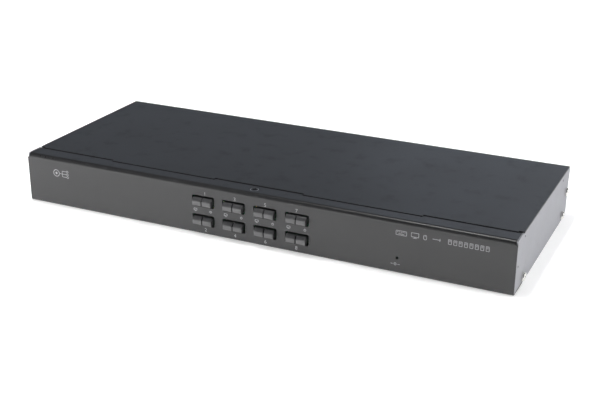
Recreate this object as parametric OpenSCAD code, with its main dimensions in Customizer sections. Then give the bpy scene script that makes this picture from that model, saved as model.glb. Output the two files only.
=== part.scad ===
// KVM switch in a one-unit steel case: eight lit push keys in front, eight computer ports behind.
// The origin is the centre of the underside, the front looks along -Y and +Z is up. Millimetres.

/* [Case] */
// Width over the side walls
case_w = 440; // [430:1:450]
// Depth from the front face to the rear flange of the cover
case_d = 176; // [170:1:200]
// Height, one rack unit
case_h = 44.5; // [44:0.1:46]
// Thickness of the steel sheet
sheet = 1.2; // [1:0.1:1.3]

/* [Front panel] */
// Outer radius of the bend along the top edge
top_bend_r = 3.5; // [2.5:0.1:4]
// Outer radius of the bend along the bottom edge
bottom_bend_r = 2.2; // [2:0.1:3]
// Depth of the lip on top, from the front face
top_lip = 17.5; // [16:0.5:20]
// Depth of the lip underneath, from the front face
bottom_lip = 25; // [20:1:30]
// Gap between the lip and the cover
seam = 0.7; // [0.4:0.1:1]
// How far the two tongues of the cover reach forward
tongue_reach = 2.4; // [1.5:0.1:3]
// Where each tongue starts, from the middle
tongue_start = 40; // [35:1:45]
// Where each tongue ends, from the middle
tongue_end = 142; // [120:1:160]

/* [Keys] */
// Distance between columns of keys
key_pitch_x = 28.5; // [27:0.1:30]
// Height of the top row
key_top_z = 29.4; // [29:0.1:30]
// Height of the bottom row
key_bottom_z = 12.6; // [12:0.1:13]
// Width of each opening
opening_w = 20.6; // [20.2:0.1:21]
// Height of each opening
opening_h = 9.8; // [9.6:0.1:10.2]
// Width of a key cap
cap_w = 18; // [17.6:0.1:18.4]
// Height of a key cap
cap_h = 6.8; // [6.6:0.1:7.2]
// How far a cap stands out of the panel
cap_proud = 3.3; // [3:0.1:3.8]
// How far the top edge of a cap slopes back and down
cap_slope = 2.4; // [2:0.1:2.6]
// How far a key travels
key_travel = 1; // [0.8:0.1:1.1]
// Where the reset pinhole is, from the middle
reset_x = 128; // [120:1:135]
// Height of the reset pinhole
reset_z = 13; // [12:0.5:16]

/* [Rear ports] */
// Distance between computer ports
port_pitch = 38; // [37:0.5:38.5]
// Place of the first computer port
first_port_x = 92; // [90:1:94]
// Distance between the two jack screws of a port
jack_spacing = 24.99; // [24.9:0.01:25.1]

/* [Hidden] */
$fn = 48;
EPS = 0.01;

// Planes of the case
front_y = -case_d / 2;
rear_y = case_d / 2;
panel_back_y = front_y + sheet;
wall_out_y = rear_y - sheet - 0.1;
wall_in_y = wall_out_y - sheet;
cover_z = case_h - sheet;
side_in_x = case_w / 2 - sheet;
lip_w = case_w - 2 * sheet - 0.3;
lip_end_y = front_y + top_lip;
cover_front_y = lip_end_y + seam;
tongue_mid = (tongue_start + tongue_end) / 2;
tongue_w = tongue_end - tongue_start;
corner_notch = [4.5, 1.6];
cover_screw_y = front_y + 10;
floor_step = 0.2;

// Cover screws at the rear
rear_screw_x = [-180, 0, 180];
rear_screw_z = case_h - 5.5;

// Screws and small round holes in each side, [distance behind the front face, height]
side_screws_yz = [[24, 6], [case_d - 19, 5.5], [case_d - 10, 24]];
side_holes_yz = [[22.5, 40], [6.5, 21.5], [case_d - 25, 39.5]];
side_hole_r = 1;
m4_r = 2;
m3_r = 1.5;
m3_hole_r = 1.6;

// Keys
key_count = 8;
cap_front_y = front_y - cap_proud;
cap_depth = cap_proud + 4.4;
cap_back_y = cap_front_y + cap_depth;
groove = [0.6, 3];
lamp_x = 5.2;
plunger_r = 1.65;
plunger_socket = 3;
plunger_l = 7.2;
housing_front_y = cap_back_y + key_travel + 0.3;
housing_depth = 6;
board_t = 1.6;
key_board_y = housing_front_y + housing_depth;
key_board_back_y = key_board_y + board_t;
key_board_x = [-64, 142];
key_board_z = [4.2, 40.4];
key_post_x = [-59, 137];
key_post_z = [8, 36.5];
reset_tip_y = panel_back_y + 1.2;
reset_r = 1.4;

// Main board and what it carries
board_z = sheet + 6;
board_top_z = board_z + board_t;
board_x = [-206, 208];
board_y = [-40, wall_in_y - 0.3];
stand_x = [-197, -66, 66, 199];
stand_y = [-34, 62];
port_count = 8;
port_z = board_top_z + 6.25;
console_x = first_port_x + 43;
keyboard_x = console_x + 27;
mouse_x = keyboard_x + 17;
dc_x = mouse_x + 18.5;
din_z = board_top_z + 6.5;
flange = [30.8, 0.8, 12.4];
shell_out = 5.8;
shell_t = 0.5;
d_size = [16.9, 8.6];
ribbon_x = 20;
ribbon_w = 25;
ribbon_t = 1;

function key_x(i) = (floor((i - 1) / 2) - 1.5) * key_pitch_x;
function key_z(i) = i % 2 == 1 ? key_top_z : key_bottom_z;
function port_x(i) = first_port_x - (i - 1) * port_pitch;
function all_ports() = concat([console_x], [for (i = [1:port_count]) port_x(i)]);
function numbered(name) = [for (i = [1:key_count]) str(name, i)];

// ---------- shared shapes ----------

// Carries a drawing of the Y-Z plane along X
module along_x(length)
    rotate([90, 0, 90])
        linear_extrude(length, center = true) children();

// Carries a drawing of the X-Z plane towards +Y, from y = 0
module towards_back(length)
    mirror([0, 1, 0])
        rotate([90, 0, 0])
            linear_extrude(length) children();

// A round bar towards +Y, from y = 0
module bar_back(r, length, r2 = -1)
    rotate([-90, 0, 0])
        cylinder(r1 = r, r2 = r2 < 0 ? r : r2, h = length);

module box(low, high)
    translate(low)
        cube(high - low);

// A rectangle about the origin with round corners, from true arcs
module round_rect(w, h, r) {
    square([w - 2 * r, h], center = true);
    square([w, h - 2 * r], center = true);
    for (x = [-1, 1], z = [-1, 1])
        translate([x * (w / 2 - r), z * (h / 2 - r)])
            circle(r);
}

// A quarter of a ring: the section of a sheet's bend. turn brings it to its quadrant.
module bend(r_out, turn)
    rotate(turn)
        intersection() {
            difference() {
                circle(r_out);
                circle(r_out - sheet);
            }
            square(r_out);
        }

// Cross recess of a screw whose head top is at z = 0
module cross_recess(size, depth)
    for (a = [0, 90])
        rotate(a)
            translate([-size / 2, -0.6, -depth])
                cube([size, 1.2, depth + EPS]);

// Pan-head screw, head top up: the head's seat is at z = 0 and the shank goes down
module pan_screw(head_r, head_h, shank_r, shank_l) {
    difference() {
        intersection() {
            cylinder(r = head_r, h = head_h);
            translate([0, 0, head_h - head_r * 1.5])
                sphere(head_r * 1.5);
        }
        translate([0, 0, head_h])
            cross_recess(head_r * 1.05, head_h * 0.6);
    }
    translate([0, 0, -shank_l])
        cylinder(r = shank_r, h = shank_l + EPS);
}

// Outline of a D-shaped connector, wider at the top, with round corners worked out as arcs
function d_outline(w, h, r) =
    let (
        lean = tan(10) * h / 2,
        corners = [[w / 2 - r, h / 2 - r], [r - w / 2, h / 2 - r],
                   [r - w / 2 + lean * 2, r - h / 2], [w / 2 - r - lean * 2, r - h / 2]],
        starts = [-10, 90, 190, 270],
        sweeps = [100, 100, 80, 80])
    [for (c = [0:3], k = [0:4])
        let (a = starts[c] + sweeps[c] * k / 4)
        corners[c] + r * [cos(a), sin(a)]];

// ---------- steel case ----------

module front_panel() {
    face_top = case_h - top_bend_r;
    color([0.13, 0.13, 0.14])
    difference() {
        union() {
            along_x(case_w)
                translate([front_y, bottom_bend_r])
                    square([sheet, face_top - bottom_bend_r]);
            along_x(case_w)
                translate([front_y + bottom_bend_r, bottom_bend_r])
                    bend(bottom_bend_r, 180);
            along_x(case_w)
                translate([front_y + bottom_bend_r, 0])
                    square([bottom_lip - bottom_bend_r, sheet]);
            along_x(lip_w)
                translate([front_y + top_bend_r, face_top])
                    bend(top_bend_r, 90);
            along_x(lip_w)
                translate([front_y + top_bend_r, cover_z])
                    square([top_lip - top_bend_r, sheet]);
        }
        for (i = [1:key_count])
            translate([key_x(i), front_y - 1, key_z(i)])
                towards_back(sheet + 2)
                    round_rect(opening_w, opening_h, 1.1);
        translate([reset_x, front_y - 1, reset_z])
            bar_back(1.1, sheet + 2);
        for (s = [-1, 1])
            translate([s * tongue_mid - tongue_w / 2, lip_end_y - tongue_reach, cover_z - 1])
                cube([tongue_w, tongue_reach + 1, sheet + 2]);
        translate([0, cover_screw_y, cover_z - 1])
            cylinder(r = m4_r + 0.3, h = sheet + 2);
        translate([0, cover_screw_y, case_h - sheet])
            cylinder(r1 = m4_r + 0.3, r2 = 4, h = sheet + EPS);
    }
}

// Outline of a side wall, in the Y-Z plane
module side_outline() {
    start_y = panel_back_y + 0.15;
    face_top = case_h - top_bend_r;
    difference() {
        union() {
            translate([start_y, sheet + floor_step])
                square([wall_out_y - start_y, face_top - sheet - floor_step]);
            translate([front_y + bottom_lip + 0.4, 0])
                square([wall_out_y - front_y - bottom_lip - 0.4, sheet * 2]);
            translate([front_y + top_bend_r, face_top - EPS])
                square([top_lip - top_bend_r, top_bend_r + EPS]);
            translate([lip_end_y - EPS, face_top - EPS])
                square([wall_out_y - lip_end_y + EPS, cover_z - face_top + EPS]);
            intersection() {
                translate([front_y + top_bend_r, face_top])
                    circle(top_bend_r);
                translate([start_y, face_top - EPS])
                    square([top_bend_r, top_bend_r + EPS]);
            }
        }
        for (p = side_screws_yz)
            translate([front_y + p[0], p[1]])
                circle(m4_r);
        for (p = side_holes_yz)
            translate([front_y + p[0], p[1]])
                circle(side_hole_r);
    }
}

module chassis_tray() {
    floor_y = front_y + bottom_lip + 0.4;
    step_z = sheet + floor_step;
    color([0.72, 0.73, 0.77])
    difference() {
        union() {
            for (s = [-1, 1])
                translate([s * (case_w - sheet) / 2, 0, 0])
                    along_x(sheet)
                        side_outline();
            // Floor, stepped up over the lip of the front panel
            box([-side_in_x - EPS, floor_y, 0], [side_in_x + EPS, wall_out_y, sheet]);
            box([-side_in_x - EPS, floor_y, 0], [side_in_x + EPS, floor_y + sheet, step_z + sheet]);
            box([-side_in_x - EPS, panel_back_y + 1.2, step_z],
                [side_in_x + EPS, floor_y + sheet, step_z + sheet]);
            // Rear wall and the flanges that carry the cover
            box([-side_in_x - EPS, wall_in_y, 0], [side_in_x + EPS, wall_out_y, cover_z]);
            for (s = [-1, 1])
                translate([s * (side_in_x - 4), 0, 0])
                    box([-4 - EPS, cover_front_y + 2.5, cover_z - sheet], [4 + EPS, wall_out_y, cover_z]);
        }
        for (x = all_ports())
            translate([x, wall_in_y - 1, port_z]) {
                towards_back(sheet + 2)
                    polygon(d_outline(d_size[0] + 0.8, d_size[1] + 0.8, 2.6));
                for (s = [-1, 1])
                    translate([s * jack_spacing / 2, 0, 0])
                        bar_back(m3_hole_r, sheet + 2);
            }
        for (x = [keyboard_x, mouse_x])
            translate([x, wall_in_y - 1, din_z])
                bar_back(6.4, sheet + 2);
        translate([dc_x, wall_in_y - 1, din_z])
            bar_back(4.9, sheet + 2);
        translate([board_x[0], wall_in_y - 1, port_z])
            bar_back(m4_r, sheet + 2);
        for (x = rear_screw_x)
            translate([x, wall_in_y - 1, rear_screw_z])
                bar_back(m3_r, sheet + 2);
        // Vent slots over the computer ports
        for (i = [1:port_count], s = [-1, 1])
            translate([port_x(i) + s * 9, wall_in_y - 1, port_z + 12.5])
                towards_back(sheet + 2)
                    round_rect(14, 2.4, 1.19);
    }
}

module top_cover() {
    flange_z = cover_z - sheet - 0.1;
    color([0.14, 0.14, 0.15])
    difference() {
        union() {
            box([-case_w / 2, cover_front_y, cover_z], [case_w / 2, rear_y, case_h]);
            for (s = [-1, 1])
                translate([s * tongue_mid, 0, 0])
                    box([-tongue_w / 2 + seam, cover_front_y - tongue_reach, cover_z],
                        [tongue_w / 2 - seam, cover_front_y + 1, case_h]);
            // Stepped flange under the lip of the front panel
            box([-side_in_x + 4, cover_front_y, flange_z], [side_in_x - 4, cover_front_y + sheet, case_h]);
            box([-side_in_x + 4, front_y + 5.5, flange_z],
                [side_in_x - 4, cover_front_y + sheet, flange_z + sheet]);
            // Flange down the rear
            box([-case_w / 2, rear_y - sheet, case_h - 11], [case_w / 2, rear_y, case_h]);
        }
        for (s = [-1, 1])
            translate([s * (case_w - corner_notch[0]) / 2, cover_front_y + corner_notch[1] / 2 - EPS, case_h])
                cube([corner_notch[0] + EPS, corner_notch[1], 10], center = true);
        translate([0, cover_screw_y, flange_z - 1])
            cylinder(r = m4_r, h = sheet + 2);
        for (x = rear_screw_x)
            translate([x, rear_y - sheet - 1, rear_screw_z])
                bar_back(m3_hole_r, sheet + 2);
    }
}

// ---------- screws of the case ----------

module cover_screw()
    color("silver")
    translate([0, cover_screw_y, case_h - 0.2]) {
        difference() {
            translate([0, 0, -1])
                cylinder(r1 = 2.25, r2 = 3.65, h = 1);
            cross_recess(4, 0.9);
        }
        translate([0, 0, -3.6])
            cylinder(r = m4_r - 0.02, h = 2.6 + EPS);
    }

module rear_screws()
    color("silver")
    for (x = rear_screw_x)
        translate([x, rear_y, rear_screw_z])
            rotate([-90, 0, 0])
                pan_screw(2.8, 2, m3_r - 0.02, 5);

module side_screws()
    color("silver")
    for (s = [-1, 1], p = side_screws_yz)
        translate([s * case_w / 2, front_y + p[0], p[1]])
            rotate([0, s * 90, 0])
                pan_screw(3.7, 2.6, m4_r - 0.02, 5);

// ---------- keys ----------

module key_cap(i)
    color([0.62, 0.62, 0.62])
    translate([key_x(i), cap_front_y, key_z(i)])
        difference() {
            intersection() {
                towards_back(cap_depth)
                    round_rect(cap_w, cap_h, 1);
                along_x(cap_w)
                    polygon([[0, -cap_h / 2], [cap_depth, -cap_h / 2], [cap_depth, cap_h / 2],
                             [cap_slope, cap_h / 2], [0.3, cap_h / 2 - cap_slope + 0.3],
                             [0, cap_h / 2 - cap_slope - 0.5]]);
            }
            translate([-groove[0] / 2, -EPS, -cap_h / 2 - 1])
                cube([groove[0], groove[1] + EPS, cap_h + 2]);
            // Light wells behind the two windows, and the socket of the plunger
            for (s = [-1, 1])
                translate([s * lamp_x, cap_slope + 1.2, 0])
                    box([-2.7, 0, -cap_h / 2 + 1], [2.7, cap_depth, cap_h / 2 - 1]);
            translate([0, cap_depth - plunger_socket, 0])
                bar_back(plunger_r, plunger_socket + 1);
        }

module light_barrier(i)
    color([0.05, 0.05, 0.05])
    translate([key_x(i), cap_front_y, key_z(i)])
        along_x(groove[0] - 0.02)
            polygon([[0.3, 0.2 - cap_h / 2], [groove[1], 0.2 - cap_h / 2], [groove[1], cap_h / 2 - 0.3],
                     [cap_slope + 0.3, cap_h / 2 - 0.3], [0.6, cap_h / 2 - cap_slope],
                     [0.3, cap_h / 2 - cap_slope - 0.6]]);

module key_plunger(i)
    color("ivory")
    translate([key_x(i), cap_back_y - plunger_socket, key_z(i)])
        bar_back(plunger_r, plunger_l);

module switch_housings()
    color([0.06, 0.06, 0.06])
    for (i = [1:key_count])
        translate([key_x(i), housing_front_y, key_z(i)])
            difference() {
                towards_back(housing_depth)
                    round_rect(cap_w + 0.2, cap_h + 1.4, 0.8);
                translate([0, -1, 0])
                    bar_back(plunger_r + 0.06, 5.3);
            }

module key_lamps()
    color([0.75, 0.85, 0.7])
    for (i = [1:key_count], s = [-1, 1])
        translate([key_x(i) + s * lamp_x, housing_front_y, key_z(i)])
            rotate([90, 0, 0]) {
                cylinder(r = 1.5, h = 1.6);
                translate([0, 0, 1.6])
                    sphere(1.5);
            }

module key_board()
    color([0.1, 0.35, 0.18])
    difference() {
        box([key_board_x[0], key_board_y, key_board_z[0]],
            [key_board_x[1], key_board_back_y, key_board_z[1]]);
        for (x = key_post_x, z = key_post_z)
            translate([x, key_board_y - 1, z])
                bar_back(m3_hole_r, board_t + 2);
    }

module key_board_posts()
    color("silver")
    for (x = key_post_x, z = key_post_z)
        translate([x, panel_back_y, z])
            difference() {
                bar_back(2.6, key_board_y - panel_back_y);
                translate([0, 2, 0])
                    bar_back(m3_r - 0.2, key_board_y - panel_back_y);
            }

module key_board_screws()
    color("silver")
    for (x = key_post_x, z = key_post_z)
        translate([x, key_board_back_y, z])
            rotate([-90, 0, 0])
                pan_screw(2.8, 2, m3_r - 0.2, board_t + 5);

module reset_switch()
    color([0.08, 0.08, 0.08])
    translate([reset_x, key_board_y, reset_z])
        difference() {
            box([-3, -3.6, -3], [3, 0, 3]);
            translate([0, -4.6, 0])
                bar_back(reset_r + 0.06, 3.2);
        }

module reset_plunger()
    color([0.3, 0.3, 0.3])
    translate([reset_x, reset_tip_y, reset_z])
        bar_back(reset_r, key_board_y - 2.6 - reset_tip_y);

// ---------- main board ----------

module main_board()
    color([0.1, 0.35, 0.18])
    difference() {
        box([board_x[0], board_y[0], board_z], [board_x[1], board_y[1], board_top_z]);
        for (x = stand_x, y = stand_y)
            translate([x, y, board_z - 1])
                cylinder(r = m3_hole_r, h = board_t + 2);
    }

module board_standoffs()
    color("silver")
    for (x = stand_x, y = stand_y)
        translate([x, y, sheet])
            difference() {
                cylinder(r = 3.1, h = board_z - sheet, $fn = 6);
                translate([0, 0, 0.5])
                    cylinder(r = m3_r - 0.2, h = board_z);
            }

module board_screws()
    color("silver")
    for (x = stand_x, y = stand_y)
        translate([x, y, board_top_z])
            pan_screw(2.8, 2, m3_r - 0.2, 6);

// ---------- rear connectors ----------

module video_shells()
    color("silver")
    for (x = all_ports())
        translate([x, 0, port_z])
            difference() {
                union() {
                    translate([-flange[0] / 2, wall_in_y - flange[1], -flange[2] / 2])
                        cube(flange);
                    translate([0, wall_in_y - EPS, 0])
                        towards_back(sheet + shell_out)
                            polygon(d_outline(d_size[0], d_size[1], 2.3));
                }
                translate([0, wall_in_y - flange[1] - 1, 0])
                    towards_back(sheet + shell_out + 5)
                        polygon(d_outline(d_size[0] - 2 * shell_t, d_size[1] - 2 * shell_t, 1.8));
                for (s = [-1, 1])
                    translate([s * jack_spacing / 2, wall_in_y - flange[1] - 1, 0])
                        bar_back(m3_hole_r, flange[1] + 2);
            }

module video_inserts()
    color([0.1, 0.2, 0.55])
    for (x = all_ports())
        translate([x, wall_in_y - flange[1], port_z])
            difference() {
                union() {
                    box([-flange[0] / 2, -11, -port_z + board_top_z], [flange[0] / 2, 0, flange[2] / 2]);
                    translate([0, -EPS, 0])
                        towards_back(flange[1] + sheet + shell_out - 0.4)
                            polygon(d_outline(d_size[0] - 2 * shell_t - 0.04, d_size[1] - 2 * shell_t - 0.04, 1.8));
                }
                for (s = [-1, 1])
                    translate([s * jack_spacing / 2, -7, 0])
                        bar_back(m3_hole_r, 8);
                // Three rows of five contact holes, the middle row set off by half a pitch
                for (row = [-1:1], k = [-2:2])
                    translate([k * 2.29 + (row == 0 ? -0.6 : 0.55), 2.5, row * 1.98])
                        rotate([-90, 0, 0])
                            cylinder(r = 0.6, h = 8, $fn = 8);
            }

module jack_screws()
    color("gold")
    for (x = all_ports(), s = [-1, 1])
        translate([x + s * jack_spacing / 2, wall_out_y, port_z])
            difference() {
                union() {
                    rotate([-90, 30, 0])
                        cylinder(r = 2.75, h = 5, $fn = 6);
                    translate([0, -6, 0])
                        bar_back(m3_r, 6 + EPS);
                }
                translate([0, 0.5, 0])
                    bar_back(1.2, 5);
            }

// Round keyboard and mouse sockets
module din_socket(x)
    translate([x, wall_in_y, din_z])
        difference() {
            union() {
                box([-7, -12.5, board_top_z - din_z], [7, 0, 6.6]);
                translate([0, -EPS, 0])
                    bar_back(6.1, sheet + 0.9);
            }
            // Ring-shaped gap for the plug's collar
            translate([0, -6, 0])
                difference() {
                    bar_back(5, 20);
                    translate([0, -1, 0])
                        bar_back(3.95, 22);
                }
            for (p = [[-3.4, 0.8], [3.4, 0.8], [-2.5, -1.2], [2.5, -1.2], [-1.1, -2.6], [1.1, -2.6]] * 0.8)
                translate([p[0], -3, p[1]])
                    rotate([-90, 0, 0])
                        cylinder(r = 0.45, h = 10, $fn = 8);
            box([-0.8, -3, 1.4], [0.8, 10, 2.6]);
        }

module keyboard_socket()
    color([0.4, 0.25, 0.6])
    din_socket(keyboard_x);

module mouse_socket()
    color([0.2, 0.6, 0.35])
    din_socket(mouse_x);

module din_shields()
    color("silver")
    for (x = [keyboard_x, mouse_x])
        translate([x, wall_in_y - 6, din_z])
            difference() {
                bar_back(5, 6 + sheet + 0.6);
                translate([0, -1, 0])
                    bar_back(4.7, 20);
            }

module dc_jack()
    color([0.07, 0.07, 0.07])
    translate([dc_x, wall_in_y, din_z])
        difference() {
            union() {
                box([-4.6, -13.2, board_top_z - din_z], [4.6, 0, 5.4]);
                translate([0, -EPS, 0])
                    bar_back(4.6, sheet + 0.8);
            }
            translate([0, -9, 0])
                bar_back(3.1, 20);
        }

module dc_pin()
    color("silver")
    translate([dc_x, wall_in_y - 9, din_z])
        bar_back(1.05, 8.5);

module ground_screw()
    color("silver")
    translate([board_x[0], wall_out_y, port_z])
        rotate([-90, 0, 0])
            pan_screw(3.7, 2.6, m4_r - 0.02, 5);

// ---------- parts on the boards ----------

module chips()
    color([0.08, 0.08, 0.08])
    translate([0, 0, board_top_z]) {
        for (i = [1:port_count])
            translate([port_x(i), 48, 1.1])
                cube([14, 14, 2.2], center = true);
        for (i = [1:port_count])
            translate([port_x(i), 28, 0.9])
                cube([10, 6, 1.8], center = true);
        translate([100, 0, 1.4])
            cube([26, 26, 2.8], center = true);
        translate([135, 48, 1.1])
            cube([18, 14, 2.2], center = true);
    }

module capacitors()
    color([0.1, 0.12, 0.3])
    for (i = [1:port_count])
        translate([port_x(i) + 14, 30, board_top_z])
            cylinder(r = 4, h = 11.5);

module heat_sink()
    color([0.2, 0.2, 0.22])
    translate([176, 22, board_top_z]) {
        box([-16, 0, 0], [16, 2, 22]);
        for (k = [0:6])
            box([-16 + k * 5, 2 - EPS, 0], [-14 + k * 5, 12, 22]);
    }

module regulator()
    color([0.08, 0.08, 0.08])
    translate([176, 22, board_top_z])
        box([-5, -4.5, 4], [5, 0, 19]);

module beeper()
    color([0.07, 0.07, 0.07])
    translate([-150, 0, board_top_z])
        difference() {
            cylinder(r = 6, h = 9.5);
            translate([0, 0, 7])
                cylinder(r = 1, h = 4);
        }

module crystal()
    color("silver")
    translate([122, 2, board_top_z])
        linear_extrude(3.6)
            round_rect(4.6, 11, 2.29);

// Headers: one behind the key board, one on the main board
module ribbon_headers()
    color([0.1, 0.1, 0.1]) {
        translate([ribbon_x, key_board_back_y, 0])
            box([-15, 0, 10], [15, 6, 17]);
        translate([ribbon_x, board_y[0] + 6, board_top_z])
            box([-15, -3.5, 0], [15, 3.5, 6]);
    }

// Flat cable on one smooth arch between the headers, a cubic curve in the Y-Z plane
ribbon_from = [key_board_back_y + 6, 13.5];
ribbon_to = [board_y[0] + 6, board_top_z + 6];
ribbon_pull = [[14, 0], [0, 16]];
function ribbon_point(t) =
    pow(1 - t, 3) * ribbon_from
    + 3 * t * pow(1 - t, 2) * (ribbon_from + ribbon_pull[0])
    + 3 * t * t * (1 - t) * (ribbon_to + ribbon_pull[1])
    + pow(t, 3) * ribbon_to;
function ribbon_normal(t) =
    let (
        step = ribbon_point(min(1, t + 0.01)) - ribbon_point(max(0, t - 0.01)),
        size = norm(step))
    [-step[1], step[0]] / size * ribbon_t / 2;

module ribbon_cable() {
    stations = [for (k = [0:20]) k / 20];
    color([0.6, 0.6, 0.62])
    translate([ribbon_x, 0, 0])
        along_x(ribbon_w)
            polygon(concat(
                [for (t = stations) ribbon_point(t) + ribbon_normal(t)],
                [for (t = stations) ribbon_point(1 - t) - ribbon_normal(1 - t)]));
}

// ---------- one node at a time, or all of them ----------

front_panel();
chassis_tray();
top_cover();
cover_screw();
rear_screws();
side_screws();
for (i = [1:key_count]) {
    key_cap(i);
    light_barrier(i);
    key_plunger(i);
}
switch_housings();
key_lamps();
key_board();
key_board_posts();
key_board_screws();
reset_plunger();
reset_switch();
main_board();
board_standoffs();
board_screws();
video_shells();
video_inserts();
jack_screws();
keyboard_socket();
mouse_socket();
din_shields();
dc_jack();
dc_pin();
ground_screw();
chips();
capacitors();
regulator();
heat_sink();
beeper();
crystal();
ribbon_cable();
ribbon_headers();
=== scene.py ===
# %% [markdown]
# # A KVM switch in a one-unit rack case
# One keyboard, one screen and one mouse are shared by eight computers: that is all this box does.
# It is a folded steel case with eight lit push keys in front and a row of connectors behind.
# The sizes and the parts that move come from the CAD frame. This lesson dresses that frame: it
# folds the sheets, rounds the keys, turns the screws and mixes the finishes.

import math

import bmesh
import bpy
import numpy as np
from mathutils import Matrix, Vector


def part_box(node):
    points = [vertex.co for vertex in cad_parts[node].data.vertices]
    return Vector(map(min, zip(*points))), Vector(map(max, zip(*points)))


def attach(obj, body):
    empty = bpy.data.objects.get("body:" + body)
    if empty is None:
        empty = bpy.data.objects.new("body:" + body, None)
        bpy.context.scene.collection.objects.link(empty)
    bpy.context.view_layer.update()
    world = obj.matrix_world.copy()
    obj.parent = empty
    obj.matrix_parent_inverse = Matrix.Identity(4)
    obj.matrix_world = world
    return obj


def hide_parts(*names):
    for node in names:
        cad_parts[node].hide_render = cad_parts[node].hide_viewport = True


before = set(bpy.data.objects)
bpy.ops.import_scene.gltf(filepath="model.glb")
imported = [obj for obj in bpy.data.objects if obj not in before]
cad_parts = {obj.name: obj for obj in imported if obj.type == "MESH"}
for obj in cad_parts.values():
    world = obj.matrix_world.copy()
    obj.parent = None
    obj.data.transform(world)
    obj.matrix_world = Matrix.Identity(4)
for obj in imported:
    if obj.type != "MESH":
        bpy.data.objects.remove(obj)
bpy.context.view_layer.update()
MM = 0.001

# %% [markdown]
# ## The camera
# A camera is three unit vectors and a place. Here it stands to the right of the middle and above
# the case, like a person who looks down at a shelf. We work out where "back" points from two
# angles, step that way from the point we aim at, and tip the picture by a fraction of a degree.

# %% Camera


def direction(azimuth, elevation):
    """Unit vector from the object to a viewer: azimuth 0 is in front (-Y), 90 is on the right (+X)."""
    a, e = math.radians(azimuth), math.radians(elevation)
    return Vector((math.sin(a) * math.cos(e), -math.cos(a) * math.cos(e), math.sin(e)))


def axes_of(back, roll=0.0):
    """3x3 matrix whose columns are right, up and back: up x back gives right, back x right gives up."""
    right = Vector((0, 0, 1)).cross(back).normalized()
    up = back.cross(right)
    turned = Matrix((right, up, back)).transposed()
    return turned @ Matrix.Rotation(math.radians(roll), 3, "Z")


camera_azimuth, camera_elevation, camera_roll = 24.913, 22.137, 0.298
aim_point, aim_distance = Vector((45.4, -88.0, 46.4)) * MM, 0.855
view_back = direction(camera_azimuth, camera_elevation)
camera_data = bpy.data.cameras.new("camera")
camera_data.lens, camera_data.sensor_width = 65.22, 36.0
camera_data.clip_start, camera_data.clip_end = 0.05, 30.0
camera = bpy.data.objects.new("camera", camera_data)
camera.matrix_world = axes_of(view_back, roll=camera_roll).to_4x4()
camera.location = aim_point + view_back * aim_distance
bpy.context.scene.collection.objects.link(camera)
bpy.context.scene.camera = camera
print("camera at", [round(c, 4) for c in camera.location])

# %% [markdown]
# ## Shader maths that reads like maths
# A material is a graph of nodes, but its rules are short formulas such as `1 - mask`. The class
# below wraps one socket, so that Python's own operators add the Math nodes. A second class holds
# one finish, and its `add` method makes any other node: the type, then the settings, then the inputs.

# %% Signals and finishes


class Signal:
    """A value in a formula. Each operator adds one Math node and gives its output as a new Signal."""

    def __init__(self, finish, socket):
        self.finish, self.socket = finish, socket

    def math(self, operation, *values):
        return self.finish.add("ShaderNodeMath", {"operation": operation}, dict(enumerate(values)))

    def __add__(self, other):
        return self.math("ADD", self, other)

    def __sub__(self, other):
        return self.math("SUBTRACT", self, other)

    def __rsub__(self, other):
        return self.math("SUBTRACT", other, self)

    def __mul__(self, other):
        return self.math("MULTIPLY", self, other)

    def __truediv__(self, other):
        return self.math("DIVIDE", self, other)

    def __abs__(self):
        return self.math("ABSOLUTE", self)

    __radd__, __rmul__ = __add__, __mul__

    def step(self, low, high):
        """0 below low, 1 above high, and a smooth rise between them. low may be the larger one."""
        settings = {"interpolation_type": "SMOOTHSTEP"}
        values = {0: self, 1: low, 2: high, 3: 0.0, 4: 1.0}
        return self.finish.add("ShaderNodeMapRange", settings, values)

    def other(self, name):
        """Another output of the same node."""
        return Signal(self.finish, self.socket.node.outputs[name])


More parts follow.
